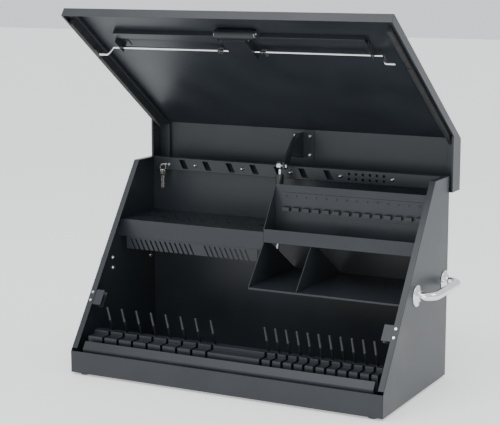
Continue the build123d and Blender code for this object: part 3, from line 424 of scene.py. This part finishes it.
def blended(tree, value, first, second):
    node = tree.nodes.new("ShaderNodeMix")
    node.data_type = "RGBA"
    node.inputs["A"].default_value = (*first, 1)
    node.inputs["B"].default_value = (*second, 1)
    tree.links.new(value, node.inputs["Factor"])
    return node.outputs["Result"]


def bumped(tree, height, distance, strength, below=None):
    node = tree.nodes.new("ShaderNodeBump")
    node.inputs["Distance"].default_value = distance
    node.inputs["Strength"].default_value = strength
    tree.links.new(height, node.inputs["Height"])
    if below is not None:
        tree.links.new(below, node.inputs["Normal"])
    return node.outputs["Normal"]


def powder_coat(name, colour, grain, rough_low, rough_high):
    """Black powder coat: fine dimples, a slight wave in the sheet, a faint bloom of dust."""
    material, tree, shader = new_material(name)
    cloud = noise(tree, 9.0, 3.0)
    speck = noise(tree, 1 / grain, 3.0, 0.6)
    lighter = tuple(c * 1.35 for c in colour)
    tree.links.new(blended(tree, ranged(tree, cloud, 0, 1), colour, lighter), shader.inputs["Base Color"])
    mix = tree.nodes.new("ShaderNodeMath")
    mix.operation = "MULTIPLY_ADD"
    mix.inputs[1].default_value = 0.35
    tree.links.new(speck, mix.inputs[0])
    tree.links.new(cloud, mix.inputs[2])
    tree.links.new(ranged(tree, mix.outputs[0], rough_low, rough_high), shader.inputs["Roughness"])
    wave = bumped(tree, noise(tree, 6.0, 1.0), 0.6 * MM, 0.35)
    peel = bumped(tree, speck, 0.06 * MM, 0.5, wave)
    tree.links.new(peel, shader.inputs["Normal"])
    shader.inputs["Specular IOR Level"].default_value = 0.45
    shader.inputs["IOR"].default_value = 1.5
    return material


def plated(name, colour, rough_low, rough_high, haze_scale, scratch=0.0):
    """Bright plating with haze and, on the zinc, faint drawn lines."""
    material, tree, shader = new_material(name)
    haze = noise(tree, haze_scale, 4.0, 0.6)
    darker = tuple(c * 0.88 for c in colour)
    tree.links.new(blended(tree, ranged(tree, haze, 0, 1), darker, colour), shader.inputs["Base Color"])
    tree.links.new(ranged(tree, haze, rough_low, rough_high), shader.inputs["Roughness"])
    shader.inputs["Metallic"].default_value = 1.0
    if scratch:
        tree.links.new(bumped(tree, noise(tree, 1600.0, 2.0), 0.02 * MM, scratch), shader.inputs["Normal"])
    return material


def rubber(name):
    """Dull moulded rubber."""
    material, tree, shader = new_material(name)
    grain = noise(tree, 1400.0, 3.0)
    patches = ranged(tree, noise(tree, 60.0), 0, 1)
    tone = blended(tree, patches, (0.012, 0.012, 0.012), (0.022, 0.022, 0.023))
    tree.links.new(tone, shader.inputs["Base Color"])
    tree.links.new(ranged(tree, grain, 0.62, 0.8), shader.inputs["Roughness"])
    tree.links.new(bumped(tree, grain, 0.08 * MM, 0.6), shader.inputs["Normal"])
    return material


def finish_named(name):
    """A finish by name, made the first time it is asked for."""
    title = name + "_finish"
    material = bpy.data.materials.get(title)
    if material:
        return material
    finish = bpy.context.scene.tool_box_finish
    coat = tuple(finish.coat_colour)
    if name == "powder_coat":
        return powder_coat(title, coat, finish.coat_grain, 0.26, 0.38)
    if name == "latch_black":
        return powder_coat(title, tuple(c * 0.7 for c in coat), finish.coat_grain, 0.3, 0.4)
    if name == "strut_black":
        return powder_coat(title, (0.02, 0.02, 0.022), finish.coat_grain * 2, 0.12, 0.2)
    if name == "chrome":
        return plated(title, tuple(finish.chrome_colour), 0.05, 0.11, 40.0)
    if name == "zinc":
        return plated(title, tuple(finish.zinc_colour), 0.2, 0.34, 220.0, 0.4)
    if name == "nickel":
        return plated(title, (0.74, 0.72, 0.67), 0.16, 0.3, 180.0, 0.3)
    return rubber(title)


# ---- node groups for what repeats ----
ROW_INPUTS = (
    ("Count", "NodeSocketInt", 1),
    ("Start", "NodeSocketVector", (0.0, 0.0, 0.0)),
    ("Step", "NodeSocketVector", (0.0, 0.0, 0.0)),
    ("Turn", "NodeSocketRotation", (0.0, 0.0, 0.0)),
)


def named_input(tree, name, kind, value):
    socket = tree.interface.new_socket(name, in_out="INPUT", socket_type=kind)
    socket.default_value = value
    return socket.identifier


def row_tree(name, profile, finish):
    """Node group that sets a turned item along a straight row and gives it a finish."""
    tree = bpy.data.node_groups.new(name, "GeometryNodeTree")
    keys = {label: named_input(tree, label, kind, value) for label, kind, value in ROW_INPUTS}
    tree.interface.new_socket("Geometry", in_out="OUTPUT", socket_type="NodeSocketGeometry")
    entry = tree.nodes.new("NodeGroupInput")
    out = tree.nodes.new("NodeGroupOutput")
    line = tree.nodes.new("GeometryNodeMeshLine")
    place = tree.nodes.new("GeometryNodeInstanceOnPoints")
    realize = tree.nodes.new("GeometryNodeRealizeInstances")
    paint = tree.nodes.new("GeometryNodeSetMaterial")
    paint.inputs["Material"].default_value = finish
    links = tree.links
    links.new(entry.outputs["Count"], line.inputs["Count"])
    links.new(entry.outputs["Start"], line.inputs["Start Location"])
    links.new(entry.outputs["Step"], line.inputs["Offset"])
    links.new(line.outputs["Mesh"], place.inputs["Points"])
    links.new(entry.outputs["Turn"], place.inputs["Rotation"])
    links.new(turned_item(tree, profile), place.inputs["Instance"])
    links.new(place.outputs["Instances"], realize.inputs["Geometry"])
    links.new(realize.outputs["Geometry"], paint.inputs["Geometry"])
    links.new(paint.outputs["Geometry"], out.inputs["Geometry"])
    return tree, keys


def turned_item(tree, profile_points, count=28):
    """A round item from a profile of (height, radius) pairs, turned about Z."""
    join = tree.nodes.new("GeometryNodeJoinGeometry")
    for (low, r_low), (high, r_high) in zip(profile_points, profile_points[1:]):
        cone = tree.nodes.new("GeometryNodeMeshCone")
        cone.fill_type = "NONE"
        cone.inputs["Vertices"].default_value = count
        cone.inputs["Radius Bottom"].default_value = r_low
        cone.inputs["Radius Top"].default_value = r_high
        cone.inputs["Depth"].default_value = high - low
        move = tree.nodes.new("GeometryNodeTransform")
        move.inputs["Translation"].default_value = (0, 0, low)
        tree.links.new(cone.outputs["Mesh"], move.inputs["Geometry"])
        tree.links.new(move.outputs["Geometry"], join.inputs["Geometry"])
    weld = tree.nodes.new("GeometryNodeMergeByDistance")
    weld.inputs["Distance"].default_value = MERGE_DISTANCE
    smooth = tree.nodes.new("GeometryNodeSetShadeSmooth")
    tree.links.new(join.outputs["Geometry"], weld.inputs["Geometry"])
    tree.links.new(weld.outputs["Geometry"], smooth.inputs["Geometry"])
    return smooth.outputs["Geometry"]


def row_mesh(name, profile, count, start, step, turn, finish):
    """Mesh of a row of turned items."""
    tree, keys = row_tree(name, profile, finish)
    holder = bpy.data.objects.new(name + "_row", bpy.data.meshes.new(name + "_row"))
    bpy.context.scene.collection.objects.link(holder)
    rows = holder.modifiers.new("Row", "NODES")
    rows.node_group = tree
    rows[keys["Count"]] = count
    rows[keys["Start"]] = start
    rows[keys["Step"]] = step
    rows[keys["Turn"]] = turn
    return evaluated_mesh(name, holder)


def joined_mesh(name, meshes):
    form = bmesh.new()
    for mesh in meshes:
        form.from_mesh(mesh)
        bpy.data.meshes.remove(mesh)
    return mesh_from(name, form)


# ---- operators ----
class TOOLBOX_OT_sheet(bpy.types.Operator):
    """Round the folds and edges of the sheet steel and give it its powder coat"""

    bl_idname = "toolbox.sheet"
    bl_label = "Sheet steel"

    def execute(self, context):
        finish = context.scene.tool_box_finish
        coat = finish_named("powder_coat")
        for node in SHEET_PIECES:
            finish_node(node, coat, finish.fold_radius, finish.edge_radius)
        return {"FINISHED"}


class TOOLBOX_OT_latch(bpy.types.Operator):
    """Finish the latch box, its paddle and its key lock"""

    bl_idname = "toolbox.latch"
    bl_label = "Latch"

    def execute(self, context):
        finish = context.scene.tool_box_finish
        for node, name in LATCH_PIECES.items():
            finish_node(node, finish_named(name), LATCH_FOLD, finish.edge_radius)
        return {"FINISHED"}


class TOOLBOX_OT_hardware(bpy.types.Operator):
    """Finish the rods, hinge, screws, hook, keys and seals"""

    bl_idname = "toolbox.hardware"
    bl_label = "Small hardware"

    def execute(self, context):
        groups = {
            "chrome": CHROME_PIECES, "zinc": ZINC_PIECES, "nickel": KEY_PIECES, "rubber": RUBBER_PIECES,
        }
        for name, nodes in groups.items():
            for node in nodes:
                finish_node(node, finish_named(name), SMALL_FOLD, SMALL_EDGE)
        return {"FINISHED"}


class TOOLBOX_OT_pegs(bpy.types.Operator):
    """Stand the two rows of leaning pegs on the wrench rack"""

    bl_idname = "toolbox.pegs"
    bl_label = "Wrench pegs"

    def execute(self, context):
        finish = finish_named("powder_coat")
        radius = PEG_RADIUS
        collar = radius * 1.25
        for node, count in PEG_COUNTS.items():
            low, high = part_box(node)
            foot = Vector((low.x + radius, high.y - radius, low.z))
            top = Vector((low.x + radius, low.y + radius, high.z - radius))
            reach = top - foot
            length = reach.length
            profile = [(0, 0), (0, radius), (length * 0.42, radius), (length * 0.43, collar)]
            profile += [(length * 0.49, collar), (length * 0.5, radius), (length - radius, radius)]
            profile += [
                (length - radius + radius * math.sin(t), radius * math.cos(t)) for t in (0.4, 0.8, 1.2)
            ]
            profile += [(length, 0)]
            turn = UP.rotation_difference(reach).to_euler()
            step = ((high.x - low.x - 2 * radius) / (count - 1), 0, 0)
            mesh = row_mesh(node + "_detailed", profile, count, foot, step, turn, finish)
            piece_from(node + "_detailed", mesh, finish, "case", (node,))
        return {"FINISHED"}


class TOOLBOX_OT_rail_nuts(bpy.types.Operator):
    """Put domed nuts and washers on the studs of the back rail"""

    bl_idname = "toolbox.rail_nuts"
    bl_label = "Rail nuts"

    def execute(self, context):
        node = "back_rail_studs"
        low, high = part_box(node)
        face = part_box("back_rail")[0].y
        dome = context.scene.tool_box_sizes.dome_height
        middle = (low.z + high.z) / 2
        reach = (high.z - low.z) / 2
        first = Vector((low.x + reach * HEX_CORNER, face, middle))
        last = high.x - reach * HEX_CORNER
        step = ((last - first.x) / (RAIL_STUD_COUNT - 1), 0, 0)
        washer = reach * 0.98
        washer_thick, dome_foot = 0.8 * MM, 3.0 * MM
        profile = [(0, 0), (0, washer), (washer_thick, washer), (1.0 * MM, washer * 0.84)]
        profile += [(dome_foot, washer * 0.84)]
        profile += [
            (dome_foot + dome * math.sin(t), washer * 0.8 * math.cos(t)) for t in (0.15, 0.5, 0.85, 1.2)
        ]
        profile += [(dome_foot + dome, 0)]
        turn = UP.rotation_difference(Vector((0, -1, 0))).to_euler()
        finish = finish_named("zinc")
        mesh = row_mesh("rail_nuts", profile, RAIL_STUD_COUNT, first, step, turn, finish)
        piece_from("rail_nuts", mesh, finish, "case", (node,))
        return {"FINISHED"}


class TOOLBOX_OT_handles(bpy.types.Operator):
    """Bend the two chrome handle bars and turn their round feet and inside bolts"""

    bl_idname = "toolbox.handles"
    bl_label = "Handles"

    def bar(self, side, bend):
        node = "handle_" + side
        low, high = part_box(node)
        sign = 1 if side == "right" else -1
        radius = (high.z - low.z) / 2
        foot = low.x if sign > 0 else high.x
        out = high.x - radius if sign > 0 else low.x + radius
        level = (low.z + high.z) / 2
        ends = (low.y + radius, high.y - radius)
        corners = [Vector((foot, ends[0], level)), Vector((out, ends[0], level))]
        corners += [Vector((out, ends[1], level)), Vector((foot, ends[1], level))]
        mesh = tube_mesh(node + "_bar", bent_path(corners, bend, 18), radius, 40)
        piece_from(node + "_bar", mesh, finish_named("chrome"), "case", (node,))

    def feet(self, side):
        node = "handle_rosettes_" + side
        low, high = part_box(node)
        sign = 1 if side == "right" else -1
        radius = (high.z - low.z) / 2
        bar_low, bar_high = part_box("handle_" + side)
        bar_radius = (bar_high.z - bar_low.z) / 2
        wall = low.x if sign > 0 else high.x
        thick = high.x - low.x
        collar = thick * 2.6
        profile = [(0, 0), (0, radius), (thick * 0.35, radius), (thick * 0.62, radius * 0.975)]
        profile += [(thick * 0.86, radius * 0.9), (thick, radius * 0.78), (thick * 1.05, bar_radius * 1.9)]
        profile += [(thick * 1.5, bar_radius * 1.35), (thick * 2.2, bar_radius * 1.12)]
        profile += [(collar, bar_radius * 1.02), (collar, 0)]
        form = bmesh.new()
        for y in (low.y + radius, high.y - radius):
            lathe(form, Vector((wall, y, (low.z + high.z) / 2)), Vector((sign, 0, 0)), profile, 48)
        mesh = mesh_from(node + "_turned", closed(form))
        piece_from(node + "_turned", mesh, finish_named("chrome"), "case", (node,))

    def bolts(self, node):
        finish = finish_named("zinc")
        low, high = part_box(node)
        wide = BOLT_RADIUS
        profile = [(0, 0), (0, wide), (1.0 * MM, wide), (1.2 * MM, wide * 0.8), (2.6 * MM, wide * 0.74)]
        profile += [(3.6 * MM, wide * 0.5), (4.2 * MM, wide * 0.24), (BOLT_HEIGHT, 0)]
        step = (0, 0, high.z - low.z - 2 * wide)
        rows = []
        for sign, wall in ((-1, high.x), (1, low.x)):
            turn = UP.rotation_difference(Vector((sign, 0, 0))).to_euler()
            for y in (low.y + wide, high.y - wide):
                start = Vector((wall, y, low.z + wide))
                rows.append(row_mesh("bolt_row", profile, 2, start, step, turn, finish))
        mesh = joined_mesh("handle_bolt_heads", rows)
        piece_from("handle_bolt_heads", mesh, finish, "case", (node,))

    def execute(self, context):
        for side in ("right", "left"):
            self.bar(side, context.scene.tool_box_sizes.handle_bend)
            self.feet(side)
        self.bolts("handle_bolts")
        return {"FINISHED"}


class TOOLBOX_OT_strut(bpy.types.Operator):
    """Finish the pressure tube of the gas strut and the arm that holds its top"""

    bl_idname = "toolbox.strut"
    bl_label = "Gas strut"

    def execute(self, context):
        finish_node("strut_tube", finish_named("strut_black"), TUBE_FOLD, TUBE_EDGE, 3)
        finish_node("strut_arm", finish_named("powder_coat"), ARM_FOLD, ARM_EDGE)
        return {"FINISHED"}


class TOOLBOX_OT_key_ring(bpy.types.Operator):
    """Wind the key ring from two turns of wire"""

    bl_idname = "toolbox.key_ring"
    bl_label = "Key ring"

    def execute(self, context):
        low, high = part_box("key_ring")
        wire = (high.y - low.y) / 2
        radius = (high.x - low.x) / 2 - wire
        centre = (low + high) / 2
        gap = context.scene.tool_box_sizes.ring_gap
        turns = 1.9
        steps = 96
        path = []
        for k in range(steps + 1):
            angle = 2 * math.pi * turns * k / steps
            shift = gap * (k / steps - 0.5)
            path.append(centre + Vector((radius * math.sin(angle), shift, radius * math.cos(angle))))
        mesh = tube_mesh("key_ring_wire", path, wire * 0.52, 12)
        piece_from("key_ring_wire", mesh, finish_named("nickel"), "key_ring", ("key_ring",))
        return {"FINISHED"}


class TOOLBOX_OT_feet(bpy.types.Operator):
    """Turn the four rubber feet with a rounded rim and a sunk middle"""

    bl_idname = "toolbox.feet"
    bl_label = "Rubber feet"

    def execute(self, context):
        low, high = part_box("rubber_feet")
        flange = FOOT_FLANGE_RADIUS
        radius = FOOT_RADIUS
        tall = high.z - low.z
        under_floor = tall * 0.235
        profile = [(0, 0), (0, flange * 0.93), (tall * 0.08, flange)]
        profile += [(under_floor, flange), (under_floor, radius)]
        profile += [(tall * 0.78, radius * 0.99), (tall * 0.95, radius * 0.9), (tall, radius * 0.76)]
        profile += [(tall, radius * 0.45), (tall * 0.8, radius * 0.36), (tall * 0.8, 0)]
        form = bmesh.new()
        for x in (low.x + flange, high.x - flange):
            for y in (low.y + flange, high.y - flange):
                lathe(form, Vector((x, y, high.z)), -UP, profile, 36)
        mesh = mesh_from("feet_turned", closed(form))
        piece_from("feet_turned", mesh, finish_named("rubber"), "case", ("rubber_feet",))
        return {"FINISHED"}


class TOOLBOX_OT_stage(bpy.types.Operator):
    """Lay the floor, hang the lights and set the camera"""

    bl_idname = "toolbox.stage"
    bl_label = "Studio"

    def floor(self):
        form = bmesh.new()
        bmesh.ops.create_grid(form, x_segments=1, y_segments=1, size=14.0)
        level = CAD_BOX[0][2]
        for vert in form.verts:
            vert.co.z = level
        floor = bpy.data.objects.new("floor", mesh_from("floor", form))
        material, tree, shader = new_material("pale_floor")
        tone = blended(tree, noise(tree, 1.5), (0.86, 0.86, 0.86), (0.88, 0.88, 0.88))
        tree.links.new(tone, shader.inputs["Base Color"])
        shader.inputs["Roughness"].default_value = 0.9
        shader.inputs["Emission Color"].default_value = (1.0, 1.0, 1.0, 1)
        shader.inputs["Emission Strength"].default_value = 0.5
        floor.data.materials.append(material)
        bpy.context.scene.collection.objects.link(floor)

    def area(self, name, place, aim, size, power):
        lamp = bpy.data.lights.new(name, "AREA")
        lamp.shape = "RECTANGLE"
        lamp.size, lamp.size_y = size
        lamp.energy = power
        holder = bpy.data.objects.new(name, lamp)
        holder.location = place
        holder.rotation_euler = (Vector(aim) - Vector(place)).to_track_quat("-Z", "Y").to_euler()
        bpy.context.scene.collection.objects.link(holder)

    def camera(self, studio):
        data = bpy.data.cameras.new("view")
        data.lens = studio.lens
        data.sensor_width = 36.0
        data.shift_x = -0.0049
        data.shift_y = 0.0067
        data.dof.use_dof = False
        camera = bpy.data.objects.new("view", data)
        target = Vector((-0.01308, 0.0, 0.36079))
        level = math.cos(studio.elevation)
        away = Vector((
            math.sin(studio.azimuth) * level, -math.cos(studio.azimuth) * level, math.sin(studio.elevation)
        ))
        camera.location = target + away * studio.distance
        camera.rotation_euler = (math.pi / 2 - studio.elevation, 0, studio.azimuth)
        bpy.context.scene.collection.objects.link(camera)
        bpy.context.scene.camera = camera

    def execute(self, context):
        studio = context.scene.tool_box_studio
        self.camera(studio)
        self.floor()
        world = bpy.data.worlds.new("surround")
        world.use_nodes = True
        backing = world.node_tree.nodes["Background"]
        backing.inputs["Color"].default_value = (0.93, 0.97, 1.0, 1)
        backing.inputs["Strength"].default_value = studio.surround
        context.scene.world = world
        middle = (0, 0, 0.3)
        self.area("overhead", (-0.4, -1.6, 2.9), middle, (2.6, 1.6), studio.key_power)
        self.area("side", (2.0, 0.2, 2.0), (0.4, 0, 0.4), (1.0, 1.0), studio.side_power)
        self.area("fill", (1.0, -3.0, 0.9), middle, (1.2, 1.2), studio.fill_power)
        return {"FINISHED"}


class TOOLBOX_PT_panel(bpy.types.Panel):
    """Lists the steps that finish the tool box"""

    bl_idname = "TOOLBOX_PT_panel"
    bl_label = "Tool Box"
    bl_space_type = "VIEW_3D"
    bl_region_type = "UI"
    bl_category = "Tool Box"

    def draw(self, context):
        layout = self.layout
        scene = context.scene
        for group in (scene.tool_box_finish, scene.tool_box_sizes, scene.tool_box_studio):
            for name in group.__annotations__:
                layout.prop(group, name)
        for step in STEPS:
            layout.operator(step.bl_idname)


STEPS = (
    TOOLBOX_OT_stage,
    TOOLBOX_OT_sheet,
    TOOLBOX_OT_latch,
    TOOLBOX_OT_hardware,
    TOOLBOX_OT_pegs,
    TOOLBOX_OT_rail_nuts,
    TOOLBOX_OT_handles,
    TOOLBOX_OT_strut,
    TOOLBOX_OT_key_ring,
    TOOLBOX_OT_feet,
)
GROUPS = (ToolBoxFinish, ToolBoxSizes, ToolBoxStudio)


def register():
    for made in GROUPS + STEPS + (TOOLBOX_PT_panel,):
        bpy.utils.register_class(made)
    bpy.types.Scene.tool_box_finish = bpy.props.PointerProperty(type=ToolBoxFinish)
    bpy.types.Scene.tool_box_sizes = bpy.props.PointerProperty(type=ToolBoxSizes)
    bpy.types.Scene.tool_box_studio = bpy.props.PointerProperty(type=ToolBoxStudio)


def unregister():
    del bpy.types.Scene.tool_box_studio
    del bpy.types.Scene.tool_box_sizes
    del bpy.types.Scene.tool_box_finish
    for made in reversed(GROUPS + STEPS + (TOOLBOX_PT_panel,)):
        bpy.utils.unregister_class(made)


def main():
    register()
    bpy.ops.toolbox.stage()
    bpy.ops.toolbox.sheet()
    bpy.ops.toolbox.latch()
    bpy.ops.toolbox.hardware()
    bpy.ops.toolbox.pegs()
    bpy.ops.toolbox.rail_nuts()
    bpy.ops.toolbox.handles()
    bpy.ops.toolbox.strut()
    bpy.ops.toolbox.key_ring()
    bpy.ops.toolbox.feet()


if __name__ == "__main__":
    main()
